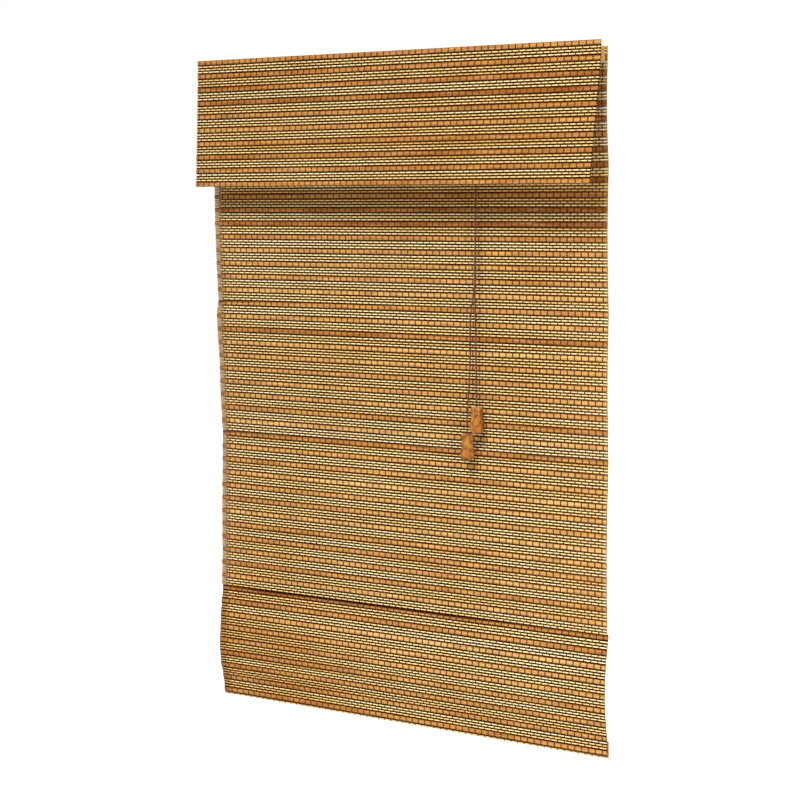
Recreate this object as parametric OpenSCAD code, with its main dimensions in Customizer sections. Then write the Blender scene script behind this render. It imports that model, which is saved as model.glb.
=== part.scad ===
// Woven bamboo roman blind with a front valance, hung from a wooden head board.
// The origin is the centre of the head board's top face, where the blind is screwed up.
// +X runs along the board, +Y points to the window and +Z points up.

/* [Head board] */
// Length of the head board
board_w = 630; // [610:1:634]
// Depth of the head board, front to back
board_d = 24; // [24:1:28]
// Height of the head board
board_h = 19; // [18:1:22]
// Small bevel along the board's edges
board_bevel = 0.8; // [0.3:0.1:1.5]
// Distance between the two mounting screws
mount_spacing = 540; // [480:10:580]
// Diameter of the mounting screw holes
mount_hole_d = 4.5; // [3.5:0.1:5.5]

/* [Weave] */
// Height of a wide slat
slat_h = 6.2; // [6:0.1:6.4]
// Thickness of a wide slat
slat_t = 2; // [1.6:0.1:2.2]
// Diameter of a thin reed
reed_d = 2.3; // [2.2:0.05:2.4]
// Clear space between neighbouring rods
rod_gap = 1.44; // [1.4:0.02:1.5]
// Thickness of the warp threads that join the rods
thread_t = 1.1; // [0.9:0.05:1.2]

/* [Mat] */
// Width of the hanging mat
mat_w = 635; // [620:1:660]
// How far the mat's top edge stands above the board
mat_rise = 0.6; // [0:0.1:2]
// How far the lift rings pull each crease back
crease_pull = 3; // [2:0.5:4]
// How far a panel between two creases swells forward
panel_bulge = 3; // [1:0.5:4]
// How far the lowest panel swells forward
hem_bulge = 8; // [4:0.5:10]
// How far the panel over the lowest crease overhangs it
hem_tuck = 3; // [0:0.5:4]
// Height of the batten behind the hem
batten_h = 21; // [18:1:24]
// Thickness of the batten
batten_t = 4; // [3:0.5:5]

/* [Valance] */
// Width of the valance
valance_w = 646; // [636:1:660]
// How far the valance's top edge stands above the board
valance_rise = 7; // [6:0.5:8]
// How far the valance's lower edge hangs forward at its left end
swing_left = 9; // [4:1:16]
// How far the valance's lower edge hangs forward at its right end
swing_right = 29; // [16:1:34]

/* [Lift hardware] */
// Distance of each lift line from the middle of the blind
lift_x = 104; // [103:0.5:105]
// Middle radius of a lift ring
ring_r = 5.6; // [5.2:0.1:6]
// Radius of a lift ring's wire
ring_wire_r = 0.9; // [0.7:0.1:1]
// Middle radius of a screw eye
eye_r = 5; // [4.8:0.1:5.2]
// Radius of a screw eye's wire
eye_wire_r = 1; // [0.8:0.1:1.1]
// Diameter of the lift cords
cord_d = 2; // [1.6:0.1:2]

/* [Cord lock] */
// Width of the lock's steel channel
lock_w = 16; // [15:0.5:17]
// Height of the lock's steel channel
lock_h = 26; // [26:0.5:28]
// Thickness of the lock's steel
lock_t = 1.2; // [1:0.1:1.5]
// Radius at the bottom of the pulley's groove
groove_r = 4.4; // [4:0.1:4.4]
// Radius of the pulley's flanges
flange_r = 7.2; // [6.8:0.1:7.4]
// Radius of the locking roller over its teeth
roller_r = 4.2; // [3.8:0.1:4.2]
// Teeth on the locking roller
roller_teeth = 20; // [14:1:24]
// Travel of the locking roller along its slots
roller_travel = 7; // [5:0.5:7]

/* [Tassels] */
// Length of a tassel
tassel_h = 35; // [33:0.5:35.5]
// Radius of a tassel at its shoulder
shoulder_r = 7.8; // [7.4:0.1:8]
// Radius of a tassel at its waist
waist_r = 7.4; // [6.8:0.1:7.6]
// Radius of a tassel at its belly
belly_r = 9.6; // [8.4:0.1:9.8]

/* [Hidden] */
$fn = 48;
eps = 0.01;

// Pattern of the weave: reeds between two wide slats, and where it starts in each wall
reeds_between = 3;
mat_lead = 3;
mat_slats = 48;
mat_rods = mat_slats * (reeds_between + 1) + 1;
valance_lead = 0;
valance_slats = 10;
valance_rods = (valance_slats - 1) * (reeds_between + 1) + 1;
slat_bevel = 0.8;
reed_bevel = reed_d / 2 * (1 - tan(22.5));

// Planes of the mat and the valance, and heights along the mat
mat_y = board_d / 2 + reed_d / 2;
valance_y = -mat_y;
mat_h = rod_top(mat_rods - 1, mat_lead) + reed_d;
valance_h = rod_top(valance_rods - 1, valance_lead) + slat_h;
mat_bottom = mat_rise - mat_h;

// Wide slats at the creases, where the lift rings are tied, and how deep they lie
crease_slats = [7, 17, 27, 39];
crease_d = [for (k = crease_slats) slat_middle(k)];
hem_crease = len(crease_slats) - 1;

// Panels of the hanging mat: [top, bottom, pull at its top, pull at its bottom, swell]
free_top = board_h + mat_rise + rod_gap;
free_bottom = mat_h - batten_h - rod_gap;
tuck_line = crease_d[hem_crease] - (slat_h + rod_gap) / 2;
panels = concat(
    [[free_top, crease_d[0], 0, crease_pull, panel_bulge]],
    [for (i = [1:hem_crease - 1]) [crease_d[i - 1], crease_d[i], crease_pull, crease_pull, panel_bulge]],
    [[crease_d[hem_crease - 1], tuck_line, crease_pull, crease_pull - hem_tuck, panel_bulge]],
    [[crease_d[hem_crease], free_bottom, crease_pull, 0, hem_bulge]]
);

// Gaps in the two walls: under a wide slat and under the reeds that follow it, but the last
gap_edge = 0.1;
gap_h = rod_gap - 2 * gap_edge;
gap_margin = 12;
gap_cut = 70;
mat_gap_rows = [for (k = [2:mat_slats - 3]) if (!is_crease(k)) k];
valance_gap_rows = [for (k = [2:valance_slats - 2]) k];
passage = [4.6, 12, cord_d + 0.7];

// Batten and rings
batten_y = mat_y + reed_d / 2;
tie_wrap = 0.5;
tie_flat = 0.3;
ring_stand = ring_r + ring_wire_r + tie_wrap - tie_flat;
hem_z = mat_bottom + batten_h / 2;
knot_r = 2.4;
ring_rows = len(crease_slats) + 1;
sides = ["left", "right"];

// Screw eyes stand beside the lift lines, towards the cord lock
eye_shift = 6;
eye_z = -29;
eye_shank_r = 1.1;
eye_bite = 12;

// Cord lock: pulley and roller places, with the slots rising away from the cords
pulley_x = 125.5;
pulley_z = -35;
channel_w = lock_w - 2 * lock_t;
side_play = 0.4;
pulley_w = channel_w - 2 * side_play;
groove_w = 7;
pulley_pin_r = 1.5;
pin_head_r = 2.6;
pin_head_t = 0.9;
pin_head_bevel = 0.5;
run_fit = 0.05;
lock_x0 = 116;
lock_x1 = 149;
lock_screw_x = [121, 144.5];
lock_screw_r = 1.4;
lock_screw_head_r = 2.8;
lock_screw_head_t = 1.8;
lock_screw_dome = 0.8;
lock_screw_bite = 12;
pilot_ratio = 0.8;
roller_x = 137.1;
roller_z = -40;
roller_w = channel_w - 2 * side_play;
roller_pin_r = 1.25;
roller_pin_head_r = 2.2;
roller_pin_play = 0.3;
slot_fit = 0.1;
slot_rise = 60;
tooth_h = 0.5;

// Staples that hold the mat to the back of the board
staples = 9;
staple_pitch = 70;
staple_crown = 12;
staple_wire = 0.9;
staple_leg = 9;
staple_z = -9.85;

// Places of the tassels' top ends and the sizes of their bores
upper_tassel = [129.5, 1.5, -460];
lower_tassel = [116.5, -1.5, -496];
tassel_bore_r = 1.3;
tassel_cup_r = 4.2;
tassel_knot_r = 3;
tassel_knot_h = 5;
tassel_knot_round = 0.8;
waist_at = 0.36;
belly_at = 0.74;
foot_r = 5.2;
cord_stop = 23;

// Route of the right lift cord, from its knot at the hem ring to its tassel
right_route = [
    [104, 30.6, -895],
    [104, 30.2, -885],
    [104, 28.5, -865],
    [104, 26.5, -840],
    [104, 24.8, -800],
    [104, 24, -749],
    [104, 24, -640],
    [104, 24, -523],
    [104, 24, -430],
    [104, 24, -334],
    [104, 24, -240],
    [104, 24, -146],
    [104, 23.5, -100],
    [104, 23, -60],
    [104, 22.5, -44],
    [104, 21, -36],
    [104, 18.5, -31],
    [104, 15, -29],
    [104, 11, -29],
    [104, 7, -29],
    [104.6, 4, -29],
    [106.5, 2.2, -29],
    [110, 1.5, -29],
    [118, 1.5, -29],
    [125.5, 1.5, -29],
    [128.5, 1.5, -29.8],
    [130.7, 1.5, -32],
    [131.5, 1.5, -35],
    [131.5, 1.5, -45],
    [131.2, 1.2, -110],
    [130.9, 0.8, -170],
    [129.6, 0.8, -237],
    [128, 0.8, -300],
    [128.8, 1.2, -357],
    [129.1, 1.5, -400],
    [129.5, 1.5, -455],
    [129.5, 1.5, -483]
];
// Route of the left lift cord, which runs along under the board to the lock
left_route = [
    [-104, 30.6, -895],
    [-104, 30.2, -885],
    [-104, 28.5, -865],
    [-104, 26.5, -840],
    [-104, 24.8, -800],
    [-104, 24, -749],
    [-104, 24, -640],
    [-104, 24, -523],
    [-104, 24, -430],
    [-104, 24, -334],
    [-104, 24, -240],
    [-104, 24, -146],
    [-104, 23.5, -100],
    [-104, 23, -60],
    [-104, 22.5, -44],
    [-104, 21, -36],
    [-104, 18.5, -31],
    [-104, 15, -29],
    [-104, 11, -29],
    [-104, 4, -29],
    [-103.4, 1, -29],
    [-101.5, -0.8, -29],
    [-98, -1.5, -29],
    [-80, -1.5, -29],
    [0, -1.5, -30],
    [90, -1.5, -29],
    [110, -1.5, -29],
    [118, -1.5, -29],
    [125.5, -1.5, -29],
    [128.5, -1.5, -29.8],
    [130.7, -1.5, -32],
    [131.5, -1.5, -35],
    [131.5, -1.5, -45],
    [131.8, -1.2, -110],
    [132, -0.8, -170],
    [130.8, -0.8, -237],
    [129.2, -0.8, -300],
    [125.2, -1.2, -324],
    [122.7, -1.5, -344],
    [122.3, -1.5, -377],
    [120.5, -1.5, -420],
    [118.5, -1.5, -444],
    [117, -1.5, -470],
    [116.5, -1.5, -494],
    [116.5, -1.5, -519]
];
cord_sides = 8;
sweep_ref = [1, 1, 1];

board_color = [0.72, 0.55, 0.34];
weave_color = [0.8, 0.6, 0.33];
batten_color = [0.7, 0.5, 0.28];
brass_color = [0.78, 0.62, 0.3];
steel_color = [0.7, 0.71, 0.72];
cord_color = [0.48, 0.31, 0.24];
tassel_color = [0.66, 0.38, 0.13];

// Rods of a woven wall, counted from its top edge, where lead reeds come before the first slat
function is_slat(i, lead) = i >= lead && (i - lead) % (reeds_between + 1) == 0;
function slats_above(i, lead) = i <= lead ? 0 : ceil((i - lead) / (reeds_between + 1));
function rod_top(i, lead) =
    slats_above(i, lead) * slat_h + (i - slats_above(i, lead)) * reed_d + i * rod_gap;
function rod_h(i, lead) = is_slat(i, lead) ? slat_h : reed_d;
function rod_t(i, lead) = is_slat(i, lead) ? slat_t : reed_d;
function rod_bevel(i, lead) = is_slat(i, lead) ? slat_bevel : reed_bevel;
function rod_low(i, lead) = rod_top(i, lead) + rod_h(i, lead);
function slat_middle(k) = rod_top(mat_lead + k * (reeds_between + 1), mat_lead) + slat_h / 2;
function is_crease(k) = len([for (c = crease_slats) if (c == k) c]) > 0;

// One face of a rod as [depth below the top edge, half thickness] from top to bottom
function rod_face(i, lead) =
    let (top = rod_top(i, lead), low = rod_low(i, lead), bevel = rod_bevel(i, lead))
    [
        [top, thread_t / 2],
        [top + bevel, rod_t(i, lead) / 2],
        [low - bevel, rod_t(i, lead) / 2],
        [low, thread_t / 2]
    ];
function wall_face(rods, lead) = [for (i = [0:rods - 1]) each rod_face(i, lead)];

// How far the hanging mat lies behind its top plane, at a depth below its top edge
function panel_hang(p, d) =
    let (t = (d - p[0]) / (p[1] - p[0]))
    p[2] * (1 - t) + p[3] * t - p[4] * sin(180 * t);
function mat_hang(d) =
    let (hang = [for (p = panels) if (d >= p[0] && d < p[1]) panel_hang(p, d)])
    d < free_top || d >= free_bottom ? 0 :
    len(hang) > 0 ? hang[0] : crease_pull;

// How far the valance hangs in front of its top plane, below the strip fixed to the board
function valance_hang(d, swing) =
    swing * max(0, d - valance_rise - board_h / 2) / (valance_h - valance_rise - board_h / 2);

// Place of a crease slat's back, and of the lift ring tied to it
function crease_z(row) = mat_rise - crease_d[row - 1];
function ring_back(row) =
    row < ring_rows ? mat_y + crease_pull + slat_t / 2 : batten_y + batten_t;
function ring_z(row) = row < ring_rows ? crease_z(row) : hem_z;
function lift_line(side) = side == "left" ? -lift_x : lift_x;
function ring_place(side, row) = [lift_line(side), ring_back(row) + ring_stand, ring_z(row)];
function eye_place(side) = [lift_line(side) + eye_shift, 0, eye_z];

// Half outline of a tassel, t from 0 at its top to 1 at its foot
function ease(a, b, u) = a + (b - a) * (1 - cos(180 * u)) / 2;
function tassel_r(t) =
    t < waist_at ? ease(shoulder_r, waist_r, t / waist_at) :
    t < belly_at ? ease(waist_r, belly_r, (t - waist_at) / (belly_at - waist_at)) :
    foot_r + (belly_r - foot_r) * sqrt(max(0, 1 - pow((t - belly_at) / (1 - belly_at), 2)));

// Vectors and rings of a tube swept along a route
function unit(v) = v / norm(v);
function route_dir(p, i) = unit(p[min(i + 1, len(p) - 1)] - p[max(i - 1, 0)]);
function tube_ring(p, i, r) =
    let (t = route_dir(p, i), a = unit(cross(t, sweep_ref)), b = cross(t, a), turn = 360 / cord_sides)
    [for (k = [0:cord_sides - 1]) p[i] + r * (a * cos(turn * k) + b * sin(turn * k))];

module tube(route, r) {
    rings = len(route);
    n = cord_sides;
    polyhedron(
        points = [for (i = [0:rings - 1]) each tube_ring(route, i, r)],
        faces = concat(
            [[for (k = [0:n - 1]) k]],
            [for (i = [0:rings - 2]) for (k = [0:n - 1])
                each [
                    [i * n + k, (i + 1) * n + k, (i + 1) * n + (k + 1) % n],
                    [i * n + k, (i + 1) * n + (k + 1) % n, i * n + (k + 1) % n]
                ]],
            [[for (k = [n - 1:-1:0]) (rings - 1) * n + k]]
        )
    );
}

module along_x(length) {
    rotate([90, 0, 90])
        linear_extrude(height = length, center = true)
            children();
}

module along_y(length) {
    rotate([90, 0, 0])
        linear_extrude(height = length, center = true)
            children();
}

module bar_section(d, h, bevel) {
    polygon([
        [-d / 2 + bevel, -h / 2], [d / 2 - bevel, -h / 2],
        [d / 2, -h / 2 + bevel], [d / 2, h / 2 - bevel],
        [d / 2 - bevel, h / 2], [-d / 2 + bevel, h / 2],
        [-d / 2, h / 2 - bevel], [-d / 2, -h / 2 + bevel]
    ]);
}

module head_board() {
    color(board_color)
        difference() {
            translate([0, 0, -board_h / 2])
                along_x(board_w)
                    bar_section(board_d, board_h, board_bevel);
            for (x = [-mount_spacing / 2, mount_spacing / 2])
                translate([x, 0, -board_h - 1])
                    cylinder(d = mount_hole_d, h = board_h + 2);
            for (side = sides)
                translate([eye_place(side).x, 0, -board_h - 1])
                    cylinder(r = eye_shank_r * pilot_ratio, h = eye_bite + 1);
            for (x = lock_screw_x)
                translate([x, 0, -board_h - 1])
                    cylinder(r = lock_screw_r * pilot_ratio, h = lock_screw_bite + 1);
        }
}

// See-through gaps between the rods of a wall, in the rows that start at the wide slats listed
module weave_gaps(width, lead, rows, top, y) {
    for (k = rows)
        for (j = [0:reeds_between - 1])
            let (rod = lead + k * (reeds_between + 1) + j)
            translate([0, y, top - rod_low(rod, lead) - rod_gap / 2])
                cube([width - 2 * gap_margin, gap_cut, gap_h], center = true);
}

module shade_mat() {
    face = wall_face(mat_rods, mat_lead);
    last = len(face) - 1;
    front = [for (p = face) [mat_y + mat_hang(p[0]) - p[1], mat_rise - p[0]]];
    back = [for (p = face) [mat_y + mat_hang(p[0]) + p[1], mat_rise - p[0]]];
    color(weave_color)
        difference() {
            along_x(mat_w)
                polygon(concat(front, [for (i = [last:-1:0]) back[i]]));
            weave_gaps(mat_w, mat_lead, mat_gap_rows, mat_rise, mat_y);
            for (side = sides)
                translate([lift_line(side), mat_y, eye_z])
                    cube(passage, center = true);
        }
}

// A point of the valance's wall at one end: face -1 is the front and 1 the back
function valance_point(end, face, p) = [
    end * valance_w / 2,
    valance_y - valance_hang(p[0], end < 0 ? swing_left : swing_right) + face * p[1],
    valance_rise - p[0]
];
function quad(a, b, c, d) = [[a, b, c], [a, c, d]];

// The valance is one wall drawn between its two end sections, which swing forward by different amounts
module valance_wall() {
    edge = wall_face(valance_rods, valance_lead);
    m = len(edge);
    fl = 0;
    bl = m;
    fr = 2 * m;
    br = 3 * m;
    polyhedron(
        points = [for (end = [-1, 1]) for (face = [-1, 1]) for (p = edge) valance_point(end, face, p)],
        faces = concat(
            [for (j = [0:m - 2]) each concat(
                quad(fl + j, fr + j, fr + j + 1, fl + j + 1),
                quad(br + j, bl + j, bl + j + 1, br + j + 1),
                quad(bl + j, fl + j, fl + j + 1, bl + j + 1),
                quad(fr + j, br + j, br + j + 1, fr + j + 1)
            )],
            quad(bl, br, fr, fl),
            quad(fl + m - 1, fr + m - 1, br + m - 1, bl + m - 1)
        )
    );
}

module valance_mat() {
    color(weave_color)
        difference() {
            valance_wall();
            weave_gaps(valance_w, valance_lead, valance_gap_rows, valance_rise, valance_y);
        }
}

module bottom_batten() {
    color(batten_color)
        translate([0, batten_y + batten_t / 2, hem_z])
            along_x(mat_w)
                bar_section(batten_t, batten_h, board_bevel);
}

module mat_staples() {
    crown_y = mat_y + thread_t / 2;
    color(steel_color)
        for (i = [0:staples - 1])
            translate([(i - (staples - 1) / 2) * staple_pitch, crown_y, staple_z]) {
                translate([-staple_crown / 2, 0, -staple_wire / 2])
                    cube([staple_crown, staple_wire, staple_wire]);
                for (x = [-staple_crown / 2, staple_crown / 2 - staple_wire])
                    translate([x, -staple_leg, -staple_wire / 2])
                        cube([staple_wire, staple_leg + eps, staple_wire]);
            }
}

module screw_eye(side) {
    color(brass_color)
        translate(eye_place(side)) {
            rotate([0, 90, 0])
                rotate_extrude()
                    translate([eye_r, 0])
                        circle(r = eye_wire_r);
            translate([0, 0, eye_r])
                cylinder(r = eye_shank_r, h = -board_h - eye_z - eye_r + eye_bite);
        }
}

// Lift rings lie flat, so that the cord runs straight up through them
module lift_ring(side, row) {
    color(brass_color)
        translate(ring_place(side, row))
            rotate_extrude()
                translate([ring_r, 0])
                    circle(r = ring_wire_r);
}

// A thread wound round a ring's wire, over an arc of the ring
module wire_wrap(r, arc) {
    rotate([0, 0, -arc / 2])
        rotate_extrude(angle = arc)
            translate([ring_r, 0])
                difference() {
                    circle(r = r);
                    circle(r = ring_wire_r);
                }
}

module ring_ties() {
    tie_arc = 36;
    color(cord_color)
        for (side = sides)
            for (row = [1:ring_rows])
                difference() {
                    translate(ring_place(side, row))
                        rotate([0, 0, -90])
                            wire_wrap(ring_wire_r + tie_wrap, tie_arc);
                    translate([lift_line(side), ring_back(row) - ring_r, ring_z(row)])
                        cube(2 * ring_r, center = true);
                }
}

module hem_knots() {
    knot_arc = 40;
    color(cord_color)
        for (side = sides)
            translate(ring_place(side, ring_rows))
                rotate([0, 0, 90])
                    wire_wrap(knot_r, knot_arc);
}

module lock_frame() {
    length = lock_x1 - lock_x0;
    middle = (lock_x0 + lock_x1) / 2;
    nose = 7;
    inner = lock_w / 2 - lock_t;
    color(steel_color)
        difference() {
            intersection() {
                translate([middle, 0, -board_h])
                    along_x(length)
                        polygon([
                            [-lock_w / 2, 0], [lock_w / 2, 0], [lock_w / 2, -lock_h],
                            [inner, -lock_h], [inner, -lock_t], [-inner, -lock_t],
                            [-inner, -lock_h], [-lock_w / 2, -lock_h]
                        ]);
                along_y(lock_w)
                    polygon([
                        [lock_x0, -board_h], [lock_x1, -board_h],
                        [lock_x1, -board_h - lock_h / 2], [lock_x1 - nose / 2, -board_h - lock_h],
                        [lock_x0 + nose, -board_h - lock_h], [lock_x0, -board_h - lock_h / 2]
                    ]);
            }
            translate([pulley_x, 0, pulley_z])
                rotate([90, 0, 0])
                    cylinder(r = pulley_pin_r, h = lock_w + 2, center = true);
            translate([roller_x, 0, roller_z])
                rotate([0, -slot_rise, 0])
                    roller_slot();
            for (x = lock_screw_x)
                translate([x, 0, -board_h - lock_t - 1])
                    cylinder(r = lock_screw_r + slot_fit, h = lock_t + 2);
        }
}

module roller_slot() {
    r = roller_pin_r + slot_fit;
    for (x = [0, roller_travel])
        translate([x, 0, 0])
            rotate([90, 0, 0])
                cylinder(r = r, h = lock_w + 2, center = true);
    translate([roller_travel / 2, 0, 0])
        cube([roller_travel, lock_w + 2, 2 * r], center = true);
}

module lock_screws() {
    color(steel_color)
        for (x = lock_screw_x)
            translate([x, 0, -board_h - lock_t]) {
                cylinder(r = lock_screw_r, h = lock_t + lock_screw_bite);
                translate([0, 0, -lock_screw_head_t])
                    cylinder(
                        r1 = lock_screw_head_r - lock_screw_dome,
                        r2 = lock_screw_head_r,
                        h = lock_screw_head_t
                    );
            }
}

module guide_pulley() {
    bore = pulley_pin_r + run_fit;
    rim = (pulley_w - groove_w) / 2;
    color(brass_color)
        translate([pulley_x, 0, pulley_z])
            rotate([90, 0, 0])
                rotate_extrude()
                    polygon([
                        [bore, -pulley_w / 2], [flange_r, -pulley_w / 2],
                        [flange_r, -pulley_w / 2 + rim / 2], [groove_r, -groove_w / 2 + rim / 2],
                        [groove_r, groove_w / 2 - rim / 2], [flange_r, pulley_w / 2 - rim / 2],
                        [flange_r, pulley_w / 2], [bore, pulley_w / 2]
                    ]);
}

// A pin across the lock's channel, with a head outside each wall
module cross_pin(r, head_r, play) {
    head_y = lock_w / 2 + play;
    rotate([90, 0, 0]) {
        cylinder(r = r, h = 2 * head_y + eps, center = true);
        for (flip = [0, 180])
            rotate([flip, 0, 0])
                translate([0, 0, head_y])
                    cylinder(r1 = head_r, r2 = head_r - pin_head_bevel, h = pin_head_t);
    }
}

module pulley_pin() {
    color(steel_color)
        translate([pulley_x, 0, pulley_z])
            cross_pin(pulley_pin_r, pin_head_r, 0);
}

module lock_pin() {
    color(steel_color)
        translate([roller_x, 0, roller_z])
            cross_pin(roller_pin_r, roller_pin_head_r, roller_pin_play);
}

module lock_roller() {
    steps = 2 * roller_teeth;
    color(brass_color)
        translate([roller_x, 0, roller_z])
            difference() {
                along_y(roller_w)
                    polygon([for (i = [0:steps - 1])
                        (roller_r - (i % 2) * tooth_h) * [cos(360 * i / steps), sin(360 * i / steps)]]);
                rotate([90, 0, 0])
                    cylinder(r = roller_pin_r + run_fit, h = roller_w + 2, center = true);
            }
}

module tassel(place) {
    steps = 20;
    round_top = 1.2;
    color(tassel_color)
        translate(place)
            rotate_extrude()
                polygon(concat(
                    [[tassel_bore_r, 0], [tassel_r(0) - round_top, 0]],
                    [for (i = [1:steps]) [tassel_r(i / steps), -tassel_h * i / steps]],
                    [
                        [tassel_cup_r, -tassel_h],
                        [tassel_cup_r, -cord_stop],
                        [tassel_bore_r, -cord_stop]
                    ]
                ));
}

module tassel_knots() {
    color(cord_color)
        for (place = [upper_tassel, lower_tassel])
            translate(place - [0, 0, cord_stop])
                rotate_extrude()
                    polygon([
                        [0, 0], [tassel_knot_r - tassel_knot_round, 0],
                        [tassel_knot_r, -tassel_knot_h / 3], [tassel_knot_r, -tassel_knot_h * 2 / 3],
                        [tassel_knot_r - tassel_knot_round, -tassel_knot_h], [0, -tassel_knot_h]
                    ]);
}

module lift_cord(route) {
    color(cord_color)
        tube(route, cord_d / 2);
}

head_board();
valance_mat();
shade_mat();
bottom_batten();
mat_staples();
screw_eye("left");  // screw_eye_left
screw_eye("right");  // screw_eye_right
lock_frame();
lock_screws();
guide_pulley();
pulley_pin();
lock_pin();
lock_roller();
for (side = sides) for (row = [1:ring_rows])
    lift_ring(side, row);
ring_ties();
lift_cord(left_route);  // lift_cord_left
lift_cord(right_route);  // lift_cord_right
hem_knots();
tassel(upper_tassel);  // tassel_upper
tassel(lower_tassel);  // tassel_lower
tassel_knots();
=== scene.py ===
"""Looks of a woven bamboo roman blind: slats, reeds, warp threads, cords, finishes, light and camera."""

import math

import bmesh
import bpy
import numpy as np
from mathutils import Matrix, Vector


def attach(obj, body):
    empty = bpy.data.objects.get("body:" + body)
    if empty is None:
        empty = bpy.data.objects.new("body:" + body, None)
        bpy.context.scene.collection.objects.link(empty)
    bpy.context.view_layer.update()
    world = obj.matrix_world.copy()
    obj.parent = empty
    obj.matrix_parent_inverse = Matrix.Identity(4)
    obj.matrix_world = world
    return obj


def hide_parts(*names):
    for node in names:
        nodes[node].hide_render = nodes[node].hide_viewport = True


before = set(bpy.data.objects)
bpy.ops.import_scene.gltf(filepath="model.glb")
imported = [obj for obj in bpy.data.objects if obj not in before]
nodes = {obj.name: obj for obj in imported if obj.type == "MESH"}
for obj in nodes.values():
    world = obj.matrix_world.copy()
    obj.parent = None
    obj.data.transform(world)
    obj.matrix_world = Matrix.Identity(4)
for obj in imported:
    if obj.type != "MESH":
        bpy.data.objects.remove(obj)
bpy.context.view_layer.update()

scene = bpy.context.scene
scene.view_settings.view_transform = "Standard"

# Sizes of the weave in metres, as in the part's source
SLAT_H = 0.0062
SLAT_T = 0.0020
REED_D = 0.0023
ROD_GAP = 0.00144
REEDS_BETWEEN = 3
MAT_W = 0.635
MAT_TOP = 0.0006
MAT_Y = 0.01315
VALANCE_W = 0.646
VALANCE_TOP = 0.007
VALANCE_Y = -0.01315
BOARD_H = 0.019
CORD_D = 0.002

# Finer forms that only the looks have: sizes in metres, then counts and shares
SLAT_BEVEL = 0.0007
THREAD_ON_SLAT = 0.0017
THREAD_ON_REED = 0.0016
THREAD_T = 0.0006
THREAD_PITCH = 0.0051
THREAD_FROM_SLAT_EDGE = 0.0006
THREAD_HALF_RUN_ON_REED = 0.00055
CORD_RING = 0.0007
CORD_LAY = 0.0075
CORD_STRANDS = 3
CORD_SIDES = 12
CORD_FULLNESS = 1.03
CORD_STRAND_DEPTH = 0.09
REED_SIDES = 12
ROD_CUTS = 7
SLAT_CUTS = 3
SLAT_CROWN = 0.3
THREAD_LIFT = 0.4
# Cuts along a thread, one after another, that give two rings for each rod
MAT_THREAD_CUTS = (10, 34)
VALANCE_THREAD_CUTS = (72,)
# The least specular level, for rods and threads without a grey sheen
MATT = 0.01


# Camera at the photograph's viewing angle, in metres, degrees and millimetres of lens
CAMERA_PLACE = (1.5484, -2.2269, -0.1638)
CAMERA_TURN = 34.67
CAMERA_PITCH = 6.18
CAMERA_ROLL = 0.61
CAMERA_LENS = 90.99


def add_camera():
    turn = math.radians(CAMERA_TURN)
    pitch = math.radians(CAMERA_PITCH)
    roll = math.radians(CAMERA_ROLL)
    forward = Vector(
        (-math.sin(turn) * math.cos(pitch), math.cos(turn) * math.cos(pitch), -math.sin(pitch))
    )
    right = Vector((math.cos(turn), math.sin(turn), 0))
    up = right.cross(forward)
    image_right = math.cos(roll) * right - math.sin(roll) * up
    image_up = math.sin(roll) * right + math.cos(roll) * up
    bpy.ops.object.camera_add(location=CAMERA_PLACE)
    camera = bpy.context.object
    camera.name = "photo_camera"
    turned = Matrix((image_right, image_up, -forward)).transposed()
    camera.rotation_euler = turned.to_euler()
    camera.data.sensor_width = 36
    camera.data.lens = CAMERA_LENS
    camera.data.clip_end = 100
    scene.camera = camera


add_camera()


# Small helpers for edit mode


def leave_nothing_selected():
    bpy.ops.object.select_all(action="DESELECT")


def select_only(piece):
    leave_nothing_selected()
    piece.select_set(True)
    bpy.context.view_layer.objects.active = piece


def pick_edges(piece, wanted):
    """Goes to edit mode with the edges selected for which wanted(a, b) is true."""
    select_only(piece)
    bpy.ops.object.mode_set(mode="EDIT")
    bpy.ops.mesh.select_mode(type="EDGE")
    bpy.ops.mesh.select_all(action="DESELECT")
    shape = bmesh.from_edit_mesh(piece.data)
    for edge in shape.edges:
        edge.select_set(wanted(edge.verts[0].co, edge.verts[1].co))
    bmesh.update_edit_mesh(piece.data)


def runs_along(axis):
    """A test for edges that run mostly along one axis."""
    mostly = 0.9
    return lambda a, b: abs(a[axis] - b[axis]) > mostly * (a - b).length


def cut_lengthwise(piece, axis, cuts):
    pick_edges(piece, runs_along(axis))
    bpy.ops.mesh.subdivide(number_cuts=cuts)
    bpy.ops.object.mode_set(mode="OBJECT")


def repeat(piece, count):
    """Makes the piece into copies that all lie in one place, to be spread afterwards."""
    select_only(piece)
    rows = piece.modifiers.new("rows", "ARRAY")
    rows.use_relative_offset = False
    rows.use_constant_offset = True
    rows.constant_offset_displace = (0, 0, 0)
    rows.count = count
    bpy.ops.object.modifier_apply(modifier=rows.name)


def points_of(piece):
    flat = np.zeros(len(piece.data.vertices) * 3, np.float32)
    piece.data.vertices.foreach_get("co", flat)
    return flat.reshape(-1, 3).astype(float)


def move_points(piece, points):
    piece.data.vertices.foreach_set("co", points.astype(np.float32).ravel())
    piece.data.update()


def mark_points(piece, name, values):
    mark = piece.data.attributes.new(name, "FLOAT", "POINT")
    mark.data.foreach_set("value", values.astype(np.float32))


def smooth_rounds(piece, degrees):
    select_only(piece)
    bpy.ops.object.shade_smooth_by_angle(angle=math.radians(degrees))


# Unevenness of the rods: spread of the tones and of the ends, and range of each rod's slow waver
SLAT_TONE_SPREAD = 0.15
REED_TONE_SPREAD = 0.18
TONE_RANGE = (0.1, 0.9)
LEFT_END_SPREAD = 0.0003
RIGHT_END_SPREAD = 0.00025
WAVER_SIZE = (0.00004, 0.00018)
WAVER_LENGTH = (0.25, 0.6)


# Rods of a woven wall, counted from its top edge


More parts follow.
